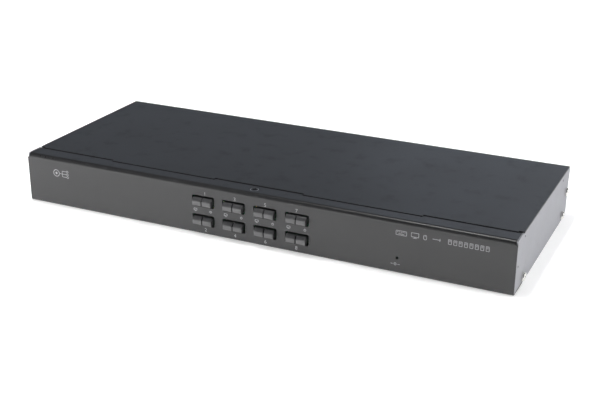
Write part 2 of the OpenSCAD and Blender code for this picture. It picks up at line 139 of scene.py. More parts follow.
class Finish:
    """One material. Patterns read Object coordinates, so they stay put when the piece moves."""

    def __init__(self, name):
        self.material = bpy.data.materials.new(name)
        self.material.use_nodes = True
        self.tree = self.material.node_tree
        self.tree.nodes.clear()
        self.place = self.add("ShaderNodeTexCoord", out="Object")

    def add(self, kind, settings=None, values=None, out=0):
        node = self.tree.nodes.new(kind)
        for key, value in (settings or {}).items():
            if key == "stops":
                self.set_stops(node.color_ramp.elements, value)
            else:
                setattr(node, key, value)
        for key, value in (values or {}).items():
            if isinstance(value, Signal):
                self.tree.links.new(value.socket, node.inputs[key])
            else:
                node.inputs[key].default_value = value
        return Signal(self, node.outputs[out])

    def set_stops(self, elements, stops):
        while len(elements) < len(stops):
            elements.new(0.5)
        for element, (position, colour) in zip(elements, stops):
            element.position, element.color = position, (*colour, 1.0)

    def stretched(self, scales):
        """The place, stretched by a factor on each axis."""
        return self.add("ShaderNodeVectorMath", {"operation": "MULTIPLY"}, {0: self.place, 1: scales})

    def noise(self, size, detail=2.0, stretch=(1, 1, 1)):
        """Cloudy values about 0.5. Blobs are size millimetres across, and stretch makes them longer."""
        scales = tuple(1.0 / (size * MM * s) for s in stretch)
        values = {"Vector": self.stretched(scales), "Scale": 1.0, "Detail": detail}
        return self.add("ShaderNodeTexNoise", {}, values)

    def millimetres(self):
        """x, y and z of the shaded point in millimetres."""
        split = self.add("ShaderNodeSeparateXYZ", {}, {0: self.stretched((1 / MM,) * 3)}, "X")
        return split, split.other("Y"), split.other("Z")

    def distance(self, place, axes):
        """Millimetres from the shaded point to a place, along those axes that are 1 and not 0."""
        values = {0: self.stretched(tuple(axis / MM for axis in axes)), 1: place}
        return self.add("ShaderNodeVectorMath", {"operation": "DISTANCE"}, values, "Value")

    def blend(self, factor, a, b):
        """Colour a where factor is 0 and colour b where it is 1."""
        colours = {0: factor}
        for socket, colour in ((6, a), (7, b)):
            colours[socket] = colour if isinstance(colour, Signal) else (*colour, 1.0)
        return self.add("ShaderNodeMix", {"data_type": "RGBA"}, colours, 2)

    def bump(self, height, depth, strength=1.0):
        """A bent normal from a height between 0 and 1 that stands for depth millimetres."""
        values = {"Height": height, "Distance": depth * MM, "Strength": strength}
        return self.add("ShaderNodeBump", {}, values)

    def surface(self, values):
        """Ends the graph in a Principled surface with these socket values."""
        shader = self.add("ShaderNodeBsdfPrincipled", {}, values)
        output = self.tree.nodes.new("ShaderNodeOutputMaterial")
        self.tree.links.new(shader.socket, output.inputs["Surface"])
        return self.material


# %% [markdown]
# ## Black powder coat
# Powder coat is sprayed on dry and melted in an oven. It levels into a skin with a fine orange
# peel, a satin shine and tiny pits. The colour is flat on purpose, so the life comes from the
# bump, from slow changes in the shine, and from a little dust on top and rubbing along the two
# bends of the front panel. The heights and depths in the formulas are millimetres.

# %% Powder coat


def powder_coat():
    """Satin black: peel and pits bend the normal, and bends, hands and dust change the shine."""
    coat = Finish("powder_coat")
    peel = coat.noise(0.9, 3.0)
    pits = coat.noise(0.28, 1.0)
    cloud = coat.noise(60, 3.0)
    handled = coat.noise(14, 5.0).step(0.52, 0.75)
    y, z = coat.millimetres()[1:]
    upper_bend = z.step(40.0, 43.5) * y.step(-83.0, -87.5)
    near_bend = upper_bend + z.step(2.6, 0.6) * y.step(-84.5, -87.5)
    worn = near_bend * coat.noise(2.2, 6.0, stretch=(4, 1, 1)).step(0.55, 0.72)
    specks, drifts = coat.noise(1.1, 2.0).step(0.70, 0.80), coat.noise(25, 2.0).step(0.45, 0.7)
    dust = specks * drifts * z.step(44.0, 44.4)
    black = coat.blend(cloud, (0.020, 0.020, 0.021), (0.028, 0.028, 0.029))
    rubbed = coat.blend(worn * 0.5, black, (0.06, 0.06, 0.063))
    return coat.surface({
        "Base Color": coat.blend(dust * 0.25, rubbed, (0.16, 0.16, 0.16)),
        "Specular IOR Level": 0.70,
        "Roughness": 0.32 + 0.08 * cloud + 0.06 * handled + 0.05 * peel - 0.10 * near_bend,
        "Normal": coat.bump(peel * 0.75 + pits * 0.25, 0.035),
    })


black_coat = powder_coat()

# %% [markdown]
# ## Plated steel
# The tray isn't painted. Zinc on cold-rolled sheet is a pale, slightly blue metal with long faint
# lines from the rollers and cloudy patches from the bath. Three small holes in each side look
# into the dark case; their walls, just behind the outer skin, get painted shade in near black.

# %% Plated steel

side_holes = ((-65.5, 40.0), (-81.5, 21.5), (63.0, 39.5))
hole_shade_radius, skin_x = (1.5, 1.3), (219.95, 219.8)  # where the black starts, and where it is full


def zinc_plate():
    """Pale metal whose tone mixes a cloud, a bath pattern and roller lines in fixed shares, with painted
    shade on the walls of the side holes.
    """
    zinc = Finish("zinc_plate")
    rolled = zinc.noise(0.5, 3.0, stretch=(1, 60, 1))
    cloud = zinc.noise(22, 4.0)
    bath = zinc.noise(3.0, 3.0)
    x = zinc.millimetres()[0]
    handled = zinc.noise(9, 5.0).step(0.58, 0.72)
    tone = 0.55 * cloud + 0.25 * bath + 0.20 * rolled
    pale = zinc.blend(tone, (0.40, 0.405, 0.435), (0.52, 0.525, 0.555))
    # Painted shade: the hole walls just inside the outer skin are painted near black for the dark inside
    # the case.
    for hole_y, hole_z in side_holes:
        hole_shade = zinc.distance((0.0, hole_y, hole_z), (0, 1, 1)).step(*hole_shade_radius)
        pale = zinc.blend(hole_shade * abs(x).step(*skin_x), pale, (0.01, 0.01, 0.01))
    return zinc.surface({
        "Base Color": zinc.blend(handled * 0.18, pale, (0.33, 0.33, 0.35)),
        "Metallic": 0.35,
        "Roughness": 0.56 + 0.10 * cloud + 0.08 * rolled,
        "Normal": zinc.bump(rolled * 0.6 + bath * 0.4, 0.012),
    })


zinc_steel = zinc_plate()

# %% [markdown]
# ## Nickel plate and black oxide
# Screws, standoffs and connector shells have a bright, hard plating. It mirrors the room, broken
# only by fine scratches from the driver and from shipping loose in a bag. The screw in the lip is
# blackened instead: its rim is worn to bright steel, and that rim is a distance from its axis.

# %% Nickel


def nickel_plate():
    """Bright metal: fine scratches add to the roughness and dent the normal."""
    nickel = Finish("nickel")
    scratches = nickel.noise(0.12, 4.0, stretch=(9, 1, 3)).step(0.58, 0.70)
    cloud = nickel.noise(2.5, 3.0)
    return nickel.surface({
        "Base Color": nickel.blend(cloud, (0.78, 0.77, 0.74), (0.90, 0.89, 0.87)),
        "Metallic": 1.0,
        "Roughness": 0.12 + 0.10 * cloud + 0.16 * scratches,
        "Normal": nickel.bump(scratches, 0.006),
    })


def black_plate(axis_y):
    """A screw blackened by oxide, whose upright axis stands at x = 0 and y = axis_y."""
    oxide = Finish("black_plate")
    blotch = oxide.noise(0.5, 4.0)
    from_axis = oxide.distance((0.0, axis_y, 0.0), (1, 1, 0))
    rim = (from_axis + 0.5 * blotch).step(3.05, 3.45)
    return oxide.surface({
        "Base Color": oxide.blend(rim, (0.030, 0.030, 0.032), (0.60, 0.59, 0.57)),
        "Metallic": 0.4 + 0.6 * rim,
        "Roughness": 0.34 + 0.10 * blotch - 0.10 * rim,
        "Normal": oxide.bump(blotch, 0.01),
    })


bright_nickel = nickel_plate()

# %% [markdown]
# ## Moulded plastics
# Most plastic parts differ only in colour: a steel mould with a spark-eroded skin leaves a fine
# even grain on all of them. One function makes the family. It takes the colour, how dull the skin
# is, how deep the grain goes and how glossy the plastic is. The parts people touch get a polished,
# slightly darker trace.

# %% Plastics


def moulded_plastic(name, colour, dullness=0.5, grain_depth=0.012, touched=0.0, gloss=0.5):
    """One plastic of the family. touched, from 0 to 1, is how far fingers have polished it."""
    plastic = Finish(name)
    grain = plastic.noise(0.22, 2.0)
    flow = plastic.noise(6.0, 3.0)
    polish = plastic.noise(2.4, 4.0).step(0.45, 0.70) * touched
    darker = tuple(c * 0.82 for c in colour)
    tone = plastic.blend(0.6 * flow + 0.4 * grain, darker, colour)
    return plastic.surface({
        "Base Color": plastic.blend(polish * 0.35, tone, tuple(c * 0.7 for c in colour)),
        "Roughness": dullness + 0.12 * flow - 0.18 * polish,
        "Specular IOR Level": gloss,
        "Normal": plastic.bump(grain, grain_depth),
    })


key_colour, housing_colour = (0.058, 0.058, 0.060), (0.014, 0.014, 0.015)
key_grey = moulded_plastic("key_grey", key_colour, 0.34, 0.010, touched=0.6, gloss=1.25)
black_plastic = moulded_plastic("black_plastic", housing_colour, 0.45, gloss=0.3)
port_blue = moulded_plastic("port_blue", (0.020, 0.075, 0.34), 0.38)
socket_purple = moulded_plastic("socket_purple", (0.16, 0.075, 0.32), 0.40)
socket_green = moulded_plastic("socket_green", (0.06, 0.34, 0.16), 0.40)

# %% [markdown]
# ## Finishes that stay hidden until the cover comes off
# Circuit board, capacitors, heat sink and ribbon cable are CAD nodes whose shape is already right.
# They only need a finish: tracks under green varnish, a printed sleeve, brushed black anodising,
# and one red core along the edge of the ribbon.

# %% Inside finishes


def board_varnish():
    """Green varnish over paler tracks, with small gilt dots where the plated holes are."""
    board = Finish("board_varnish")
    runs = board.add("ShaderNodeTexBrick", {"offset": 0.5}, {
        "Vector": board.stretched((260.0, 90.0, 260.0)), "Scale": 1.0,
        "Mortar Size": 0.06, "Mortar Smooth": 0.2,
        "Color1": (0, 0, 0, 1), "Color2": (0, 0, 0, 1), "Mortar": (1, 1, 1, 1)})
    dots = board.add("ShaderNodeTexVoronoi", {"feature": "F1"}, {"Vector": board.place, "Scale": 240.0})
    holes = dots.step(0.16, 0.10)
    cloud = board.noise(18, 3.0)
    varnish = board.blend(cloud, (0.010, 0.085, 0.035), (0.016, 0.125, 0.055))
    tracks = board.blend(runs * 0.75, varnish, (0.03, 0.22, 0.09))
    return board.surface({
        "Base Color": board.blend(holes, tracks, (0.55, 0.43, 0.20)),
        "Metallic": holes * 0.9,
        "Roughness": 0.28 + 0.12 * cloud,
        "Normal": board.bump(runs + holes, 0.02),
    })


def capacitor_sleeve():
    """A dark blue sleeve with a pale stripe on one side, and bare aluminium on top."""
    sleeve = Finish("capacitor_sleeve")
    y, z = sleeve.millimetres()[1:]
    can_top = z.step(20.0, 20.2)
    grain = sleeve.noise(0.8, 3.0)
    stripe = y.step(33.2, 33.4) * (1.0 - can_top)
    wrapped = sleeve.blend(stripe, (0.012, 0.016, 0.07), (0.42, 0.43, 0.46))
    return sleeve.surface({
        "Base Color": sleeve.blend(can_top, wrapped, (0.62, 0.62, 0.63)),
        "Metallic": can_top,
        "Roughness": 0.30 + 0.15 * grain,
        "Normal": sleeve.bump(grain, 0.01),
    })


def brushed_anodising():
    """Black fins with brush lines that run upright."""
    fins = Finish("brushed_anodising")
    brushed = fins.noise(0.15, 3.0, stretch=(1, 1, 40))
    cloud = fins.noise(5, 2.0)
    return fins.surface({
        "Base Color": fins.blend(cloud, (0.030, 0.030, 0.034), (0.055, 0.055, 0.06)),
        "Metallic": 0.7,
        "Roughness": 0.35 + 0.2 * brushed,
        "Normal": fins.bump(brushed, 0.01),
    })


def ribbon_jacket():
    """Grey cores side by side, one ridge for each pitch, and a red core along one edge."""
    ribbon, wire_pitch = Finish("ribbon_jacket"), 1.27
    x = ribbon.millimetres()[0]
    across = ribbon.add("ShaderNodeMath", {"operation": "FRACT"}, {0: x / wire_pitch})
    ridge = 1.0 - abs(across * 2.0 - 1.0)
    red_core = x.step(31.1, 31.3)
    soil = ribbon.noise(4, 4.0)
    grey = ribbon.blend(soil, (0.34, 0.34, 0.36), (0.42, 0.42, 0.44))
    return ribbon.surface({
        "Base Color": ribbon.blend(red_core, grey, (0.40, 0.03, 0.03)),
        "Roughness": 0.42 + 0.1 * soil,
        "Normal": ribbon.bump(ridge, 0.25),
    })


def lamp_lens():
    """Clear, slightly hazy green plastic."""
    lens = Finish("lamp_lens")
    haze = lens.noise(0.9, 3.0)
    return lens.surface({
        "Base Color": lens.blend(haze, (0.55, 0.75, 0.50), (0.72, 0.86, 0.66)),
        "Roughness": 0.12 + 0.2 * haze,
        "Transmission Weight": 0.7,
        "Normal": lens.bump(haze, 0.01),
    })


varnish, sleeve_blue, black_anodised = board_varnish(), capacitor_sleeve(), brushed_anodising()
ribbon_grey, clear_lens = ribbon_jacket(), lamp_lens()
print("finishes:", len(bpy.data.materials))

# %% [markdown]
# ## From surfaces to a mesh
# Every new piece below is one or more surfaces computed as whole arrays: a grid of points, and the
# four-cornered faces between them. This cell turns such surfaces into a Blender mesh. It welds
# the points that meet at seams and poles, and for a closed shell it turns all faces outwards.

# %% Grids and pieces


def on_face(outline, x, z, y):
    """An outline stood upright: its two coordinates become x and z about a place, all at depth y."""
    return np.stack([x + outline[:, 0], np.full(len(outline), y), z + outline[:, 1]], 1)


def grid_faces(rows, columns, wrapped=False):
    """Four-cornered faces between rows and columns. wrapped joins the last column to the first."""
    row = np.arange(rows - 1)[:, None]
    column = np.arange(columns if wrapped else columns - 1)[None, :]
    following = (column + 1) % columns
    corners = (row * columns + column, row * columns + following,
               (row + 1) * columns + following, (row + 1) * columns + column)
    return np.stack(np.broadcast_arrays(*corners), -1).reshape(-1, 4)


def loft(sections):
    """Closed shell through (stations, points, 3): rings in order, each end shut at its middle."""
    ends = [np.repeat(s.mean(0)[None], len(s), 0)[None] for s in (sections[0], sections[-1])]
    rings = np.concatenate([ends[0], sections, ends[1]])
    return rings.reshape(-1, 3), grid_faces(len(rings), rings.shape[1], wrapped=True)


def ring_tube(sections):
    """Closed shell through (stations, points, 3) whose last ring joins its first, such as a pipe wall."""
    rings = np.concatenate([sections, sections[:1]])
    return rings.reshape(-1, 3), grid_faces(len(rings), rings.shape[1], wrapped=True)


def make_piece(name, surfaces, finish, body, stands_for=(), closed=True, crease=35):
    """Joins surfaces of (points in mm, faces), welds them, and gives the piece its body and finish."""
    starts = np.cumsum([0] + [len(points) for points, _ in surfaces[:-1]])
    points = np.concatenate([points for points, _ in surfaces]) * MM
    faces = np.concatenate([faces + start for (_, faces), start in zip(surfaces, starts)])
    mesh = bpy.data.meshes.new(name)
    mesh.from_pydata(points, [], faces.tolist())
    welded = bmesh.new()
    welded.from_mesh(mesh)
    bmesh.ops.remove_doubles(welded, verts=welded.verts, dist=2e-6)
    if closed:
        bmesh.ops.recalc_face_normals(welded, faces=welded.faces)
    welded.to_mesh(mesh)
    welded.free()
    mesh.shade_smooth()
    mesh.set_sharp_from_angle(angle=math.radians(crease))
    mesh.materials.append(finish)
    piece = bpy.data.objects.new(name, mesh)
    bpy.context.scene.collection.objects.link(piece)
    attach(piece, body)
    if stands_for:
        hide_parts(*stands_for)
    return piece


def add_thickness(piece, thickness, edge):
    """Gives a folded sheet its thickness inwards, and rounds the cut edges as a deburring tool does."""
    solid = piece.modifiers.new("thickness", "SOLIDIFY")
    solid.thickness, solid.offset, solid.use_even_offset = thickness * MM, -1.0, True
    rounding = piece.modifiers.new("deburred", "BEVEL")
    rounding.width, rounding.segments, rounding.limit_method = edge * MM, 2, "ANGLE"
    rounding.angle_limit, rounding.use_clamp_overlap = math.radians(55), False
    rounding.harden_normals = True
    return piece


# %% [markdown]
# ## Sheet metal is drawn flat, then folded
# A sheet-metal shop cuts a flat blank first and bends it afterwards. We do the same. `punched`
# draws the blank on a grid of x and s, where s is the length along the folded section. Round
# each hole it takes a block out of the grid, and fills it with rings that turn step by step from
# the block's square edge into the hole's outline. `Fold` then says where a length s ends up.

# %% Blanks, holes and folds


def arc(middle, radius, start, end, count=9):
    """Points on an arc: the middle plus radius times (cos, sin) of an angle from start to end."""
    a = np.radians(np.linspace(start, end, count))
    return np.array(middle) + radius * np.stack([np.cos(a), np.sin(a)], 1)


def circle(radius, count=96):
    """Outline of a circle about the origin."""
    return arc((0, 0), radius, 0, 360 * (1 - 1 / count), count)


def rounded(width, height, radius, count=9):
    """Outline of a rectangle with round corners: four quarter arcs, joined by straight sides."""
    w, h = width / 2 - radius, height / 2 - radius
    middles = ((w, h), (-w, h), (-w, -h), (w, -h))
    return np.concatenate([arc(m, radius, 90 * k, 90 * k + 90, count) for k, m in enumerate(middles)])


def crowded(low, high, count):
    """Lines from low to high that crowd at both ends, where a hole's corners need them."""
    return (low + high) / 2 - (high - low) / 2 * np.cos(np.pi * np.linspace(0, 1, count))


def hole(x, s, outline, margin, count):
    """A hole in a blank, with the block round it that is taken out of the grid."""
    half = np.abs(outline).max(0) + margin
    return {"at": np.array((x, s)), "half": half, "outline": outline,
            "x": crowded(x - half[0], x + half[0], count[0]),
            "s": crowded(s - half[1], s + half[1], count[1])}


def sorted_lines(*groups, nearest=0.02):
    """All lines in order, without those that fall on a line before them."""
    lines = np.unique(np.concatenate([np.atleast_1d(g) for g in groups]))
    return lines[np.concatenate([[True], np.diff(lines) > nearest])]


def meeting_points(outer, outline):
    """Where rays from the origin to outer points cross an outline, each on one straight side."""
    ray = outer / np.hypot(*outer.T)[:, None]
    angles = np.arctan2(outline[:, 1], outline[:, 0])
    order = np.argsort(angles)
    k = np.searchsorted(angles[order], np.arctan2(outer[:, 1], outer[:, 0])) % len(order)
    a, side = outline[order][k - 1], outline[order][k] - outline[order][k - 1]
    return ray * ((a[:, 0] * side[:, 1] - a[:, 1] * side[:, 0])
                  / (ray[:, 0] * side[:, 1] - ray[:, 1] * side[:, 0]))[:, None]


def punched(x_lines, s_lines, holes, kept=None):
    """A blank: grid points (x, s), the kept faces, and rings from each block's edge to its hole."""
    xs, ss = np.meshgrid(x_lines, s_lines)
    points = [np.stack([xs.ravel(), ss.ravel()], 1)]
    across, along = len(x_lines), len(s_lines)
    middles = ((lines[1:] + lines[:-1]) / 2 for lines in (x_lines, s_lines))
    middle_x, middle_s = np.meshgrid(*middles)
    stays = np.ones_like(middle_x, bool) if kept is None else kept(middle_x, middle_s)
    faces, total = [], across * along
    for h in holes:
        (at_x, at_s), (half_x, half_s) = h["at"], h["half"]
        stays &= ~((abs(middle_x - at_x) < half_x) & (abs(middle_s - at_s) < half_s))
        i0, i1 = (np.argmin(abs(x_lines - at_x - side * half_x)) for side in (-1, 1))
        j0, j1 = (np.argmin(abs(s_lines - at_s - side * half_s)) for side in (-1, 1))
        sides = ((j0, np.arange(i0, i1)), (np.arange(j0, j1), i1),
                 (j1, np.arange(i1, i0, -1)), (np.arange(j1, j0, -1), i0))
        rim = np.concatenate([np.stack(np.broadcast_arrays(*side), 1) for side in sides])
        outer = points[0][rim[:, 0] * across + rim[:, 1]] - h["at"]
        inner = meeting_points(outer, h["outline"])
        shares = np.array((0.0, 0.4, 0.75, 1.0))[:, None, None]
        rings = outer * (1 - shares) + inner * shares + h["at"]
        points.append(rings.reshape(-1, 2))
        faces.append(grid_faces(len(shares), len(rim), wrapped=True) + total)
        total += len(points[-1])
    faces.insert(0, grid_faces(along, across)[stays.ravel()])
    return np.concatenate(points), np.concatenate(faces)


class Fold:
    """The folded section of a sheet, as a path of (first, second) coordinates with a length along it."""

    def __init__(self, *parts):
        self.path = np.concatenate([np.atleast_2d(p) for p in parts])
        self.length = np.concatenate([[0], np.cumsum(np.hypot(*np.diff(self.path, axis=0).T))])

    def along(self, point):
        """The length at which the path passes closest to a point."""
        start, run = self.path[:-1], np.diff(self.path, axis=0)
        share = np.clip(((np.array(point) - start) * run).sum(1) / (run ** 2).sum(1), 0, 1)
        gap = np.hypot(*(start + run * share[:, None] - point).T)
        k = np.argmin(gap)
        return self.length[k] + share[k] * np.hypot(*run[k])

    def at(self, s):
        """Both coordinates of the path at lengths s."""
        return (np.interp(s, self.length, self.path[:, 0]), np.interp(s, self.length, self.path[:, 1]))


# %% [markdown]
# ## The front panel
# The panel is one blank: a lip below, a face with eight openings and a pinhole, and a lip on top
# with a countersunk hole and two long cut-backs for the cover's tongues. The top bend is wide and
# soft, the bottom one tight. The upper lip is narrower than the face, so that it fits between
# the side walls, and it falls by about half a millimetre, so that a shadow line parts it from
# the cover.

# %% Front panel


def node_box(name):
    """Middle, lowest and highest corner of a CAD node in millimetres."""
    low, high = (np.array(corner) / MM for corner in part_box(name))
    return (low + high) / 2, low, high


steel, deburr, lip_drop = 1.2, 0.16, 0.55
panel_low, panel_high = node_box("front_panel")[1:]
face_y, top_z, half_width = panel_low[1], panel_high[2], panel_high[0]
lip_half, bottom_r, top_r, lip_end = 218.65, 2.2, 3.5, -70.5
tongue_x, tongue_cut = (40.0, 142.0), -72.9
opening, pinhole_r, countersink_r = rounded(20.6, 9.8, 1.1), 1.1, 3.9
key_middles = np.array([node_box(f"key_cap_{n}")[0] for n in range(1, 9)])
key_x, key_z = key_middles[:, 0], key_middles[:, 2]
pinhole = node_box("reset_plunger")[0][[0, 2]]
lip_screw_y = node_box("cover_screw")[0][1]

panel_fold = Fold(
    (panel_high[1], 0.0),
    arc((face_y + bottom_r, bottom_r), bottom_r, 270, 180),
    arc((face_y + top_r, top_z - top_r), top_r, 180, 92, 13),
    (lip_end, top_z - lip_drop))
face_s = panel_fold.along((face_y, top_z / 2)) - top_z / 2
lip_screw_s = panel_fold.along((lip_screw_y, top_z - lip_drop))
panel_holes = [hole(x, face_s + z, opening, 0.9, (19, 13)) for x, z in zip(key_x, key_z)]
panel_holes.append(hole(pinhole[0], face_s + pinhole[1], circle(pinhole_r), 0.8, (7, 7)))
panel_holes.append(hole(0, lip_screw_s, circle(countersink_r), 1.2, (11, 11)))
face_end = panel_fold.along((face_y, top_z - top_r))
cut_s = panel_fold.along((tongue_cut, top_z))


def panel_outline(x, s):
    """True where the blank keeps its steel: narrower beyond the face, and cut back at the tongues."""
    cut_back = (abs(x) > tongue_x[0]) & (abs(x) < tongue_x[1]) & (s > cut_s)
    return ((abs(x) < lip_half) | (s < face_end)) & ~cut_back


panel_edges = [(-x, x) for x in (half_width, lip_half, *tongue_x)]
panel_x = sorted_lines(*[h["x"] for h in panel_holes], *panel_edges,
                       np.linspace(-200, -60, 8), np.linspace(60, 200, 8))
panel_s = sorted_lines(*[h["s"] for h in panel_holes], panel_fold.length, cut_s)
flat, faces = punched(panel_x, panel_s, panel_holes, panel_outline)
folded = np.stack([flat[:, 0], *panel_fold.at(flat[:, 1])], 1)
panel = make_piece("panel_sheet", [(folded, faces)], black_coat, "case",
                   ["front_panel"], closed=False)
add_thickness(panel, steel, deburr)
print("panel:", len(faces), "faces,", round(panel_fold.length[-1], 1), "mm long when flat")

# %% [markdown]
# ## The top cover
# The cover is a plain sheet that turns down at the rear. Two tongues reach into the cut-backs of
# the lip, the front corners are notched, and a second, lower strip slides under the lip, so that
# the gap in front never shows the inside.

# %% Top cover

cover_rear = node_box("top_cover")[2][1]
tongue_front, cover_front, rear_r, skirt_z = -72.2, -69.8, 2.0, 33.5
tongue_gap, notch_x, notch_y = 0.7, half_width - 4.5, cover_front + 1.6
strip_half, strip_y, strip_z = 214.8, np.array((-82.5, -80.0, -76.0, -68.7)), 42.4
rear_screw_x, rear_screw_z, rear_hole_r = (-180.0, 0.0, 180.0), 39.0, 1.6

cover_fold = Fold((tongue_front, top_z), arc((cover_rear - rear_r, top_z - rear_r), rear_r, 90, 0),
                  (cover_rear, skirt_z))
rear_screw_s = cover_fold.along((cover_rear, rear_screw_z))
cover_holes = [hole(x, rear_screw_s, circle(rear_hole_r), 1.0, (9, 9)) for x in rear_screw_x]


def cover_outline(x, s):
    """True where the cover keeps its steel: tongues in front, a notch at each front corner."""
    y = s + tongue_front
    tongue = (abs(x) > tongue_x[0] + tongue_gap) & (abs(x) < tongue_x[1] - tongue_gap)
    return ((y > cover_front) | tongue) & ~((y < notch_y) & (abs(x) > notch_x))


cover_edges = [(-x, x) for x in (notch_x, tongue_x[0] + tongue_gap, tongue_x[1] - tongue_gap)]
cover_x = sorted_lines(*[h["x"] for h in cover_holes], *cover_edges,
                       np.linspace(-half_width, half_width, 23))
cover_s = sorted_lines(*[h["s"] for h in cover_holes], cover_fold.length, np.linspace(8, 150, 9),
                       cover_front - tongue_front, notch_y - tongue_front)
flat, faces = punched(cover_x, cover_s, cover_holes, cover_outline)
folded = np.stack([flat[:, 0], *cover_fold.at(flat[:, 1])], 1)
strip_flat, strip_faces = punched(np.linspace(-strip_half, strip_half, 12), strip_y, [])
strip = np.stack([*strip_flat.T, np.full(len(strip_flat), strip_z)], 1)
cover = make_piece("cover_sheet", [(folded, faces), (strip, strip_faces)], black_coat, "case",
                   ["top_cover"], closed=False)
add_thickness(cover, steel, deburr)
print("cover:", len(faces), "faces,", round(cover_fold.length[-1], 1), "mm long when flat")

# %% [markdown]
# ## Screws
# A screw is turned on a lathe and its recess is punched by a cross-shaped tool. So the head is a
# profile of (radius, height) that goes round an axis, and then the punch pushes the surface down:
# the recess is a depth that depends on x and y. A pan head is a very flat dome with a rolled rim.
# The screw in the lip is flat on top and sits in a countersink.

# %% Screws


def turned(profile, count=48):
    """Grid of a profile (radius, height) turned about z: x and y are the radius times cos and sin."""
    angle = 2 * np.pi * np.arange(count) / count
    radius, height = profile[:, :1], profile[:, 1:]
    return np.stack([radius * np.cos(angle), radius * np.sin(angle), height + 0 * angle], -1)


def punch(grid, rows, reach, width, depth, wall=0.2):
    """Pushes a cross into the first rows: full depth inside either bar, sloping walls round them."""
    x, y = abs(grid[:rows, :, 0]), abs(grid[:rows, :, 1])
    bar = np.clip((reach - x) / wall, 0, 1) * np.clip((width / 2 - y) / wall, 0, 1)
    post = np.clip((reach - y) / wall, 0, 1) * np.clip((width / 2 - x) / wall, 0, 1)
    grid[:rows, :, 2] -= depth * np.maximum(bar, post) * (1 - 0.35 * np.hypot(x, y) / reach)
    return grid


def stand(grid, at, outward):
    """Turns a grid made about z so that z points outward, and moves it to a place."""
    z = Vector(outward)
    x = Vector((0, 0, 1)) if abs(z.z) < 0.9 else Vector((1, 0, 0))
    turn = np.array((x, z.cross(x), z))
    return grid @ turn + np.array(at)


def tip(shank, length):
    """Last points of a screw's profile: down the shank, across a 45 degree chamfer, to the axis."""
    return [(shank, 0.4 - length), (shank - 0.4, -length), (0, -length)]


def pan_screw(at, outward, radius, height, shank, length):
    """Pan-head screw whose seat is at a place: a very flat dome, a rolled rim and a shank."""
    ball, roll, rows, slot_width = 5 * radius, 0.2 * radius, 26, 1.25
    across = np.linspace(0, radius - roll, rows)
    dome = np.stack([across, height - ball + np.sqrt(ball ** 2 - across ** 2)], 1)
    rim = arc((radius - roll, dome[-1, 1] - roll), roll, 82, 0, 6)
    rest = [(radius, 0.12), (radius - 0.12, 0), (shank, 0), *tip(shank, length)]
    grid = turned(np.concatenate([dome, rim, rest]))
    grid = punch(grid, rows, radius * 0.55, slot_width, height * 0.7)
    return stand(grid, at, outward).reshape(-1, 3), grid_faces(*grid.shape[:2], wrapped=True)


def flat_screw(at, outward, radius, shank, length):
    """Countersunk screw whose flat top is at a place: a thin bright rim, a cone, and a shank."""
    rows, reach, slot_width, depth = 24, 2.1, 1.1, 0.9
    across = np.linspace(0, radius - 0.15, rows)
    rest = [(radius - 0.04, -0.04), (radius, -0.14), (shank + 0.27, -1.0), (shank, -1.0),
            *tip(shank, length)]
    grid = turned(np.concatenate([np.stack([across, 0 * across], 1), rest]))
    grid = punch(grid, rows, reach, slot_width, depth)
    return stand(grid, at, outward).reshape(-1, 3), grid_faces(*grid.shape[:2], wrapped=True)


big_pan = {"radius": 3.7, "height": 2.55, "shank": 1.98, "length": 5}
small_pan = {"radius": 2.8, "height": 1.95, "shank": 1.48, "length": 5}
lip_flat = {"radius": 3.6, "shank": 1.98, "length": 3.6}
side_screw_yz = ((-64.0, 6.0), (69.0, 5.5), (78.0, 24.0))
ground_screw_at, lip_screw_sunk = (-206, 86.7, 15.05), 0.45
side_heads = [pan_screw((side * half_width, y, z), (side, 0, 0), **big_pan)
              for side in (-1, 1) for y, z in side_screw_yz]
rear_heads = [pan_screw((x, cover_rear, rear_screw_z), (0, 1, 0), **small_pan) for x in rear_screw_x]
ground_head = [pan_screw(ground_screw_at, (0, 1, 0), **big_pan)]
lip_head = [flat_screw((0, lip_screw_y, top_z - lip_screw_sunk), (0, 0, 1), **lip_flat)]
black_oxide = black_plate(float(lip_screw_y))
screw_sets = {"side_pan_screws": (side_heads, bright_nickel, "side_screws"),
              "rear_pan_screws": (rear_heads, bright_nickel, "rear_screws"),
              "ground_pan_screw": (ground_head, bright_nickel, "ground_screw"),
              "lip_screw": (lip_head, black_oxide, "cover_screw")}
for name, (heads, finish, node) in screw_sets.items():
    made = make_piece(name, heads, finish, "case", [node])
    print(name, "has", len(made.data.polygons), "faces")

# %% [markdown]
# ## Key caps
# Each cap is one moulding with two windows, parted by a groove that holds a black light barrier.
# A window is a stack of rounded rectangles that shrink towards the front along a quarter of a
# flattened circle. The shrink is large at the top edge, which slopes back and catches the light,
# and small at the other three. Behind the windows the cap is a hollow cup, as mouldings are.

# %% Key caps

flattening, slope_depth, edge_insets = 1.5, 2.5, (0.45, 0.15, 2.9, 0.3)
window_depth, seat_depth, groove, cup_wall = 3.05, 3.0, 0.8, 1


def window(x, z, width, height, front, side):
    """Half a cap front. Ring t has depth d (1 - sin^e t) and insets r (1 - cos^e t).

    The exponent e is the flattening. The four values of r are the insets of the outer edge, of
    the edge at the groove, and of the upper and the lower edge."""
    t = np.radians(np.linspace(0, 90, 12))
    back_off = np.concatenate([[window_depth], slope_depth * (1 - np.sin(t) ** flattening)])
    insets = (np.concatenate([[0], r * (1 - np.cos(t) ** flattening)]) for r in edge_insets)
    sections = []
    for outer, inner, upper, lower, back in zip(*insets, back_off):
        shape = rounded(width - outer - inner, height - upper - lower, 0.6 - 0.1 * upper)
        across, level = x + side * (inner - outer) / 2, z + (lower - upper) / 2
        sections.append(on_face(shape, across, level, front + back))
    return loft(np.array(sections))


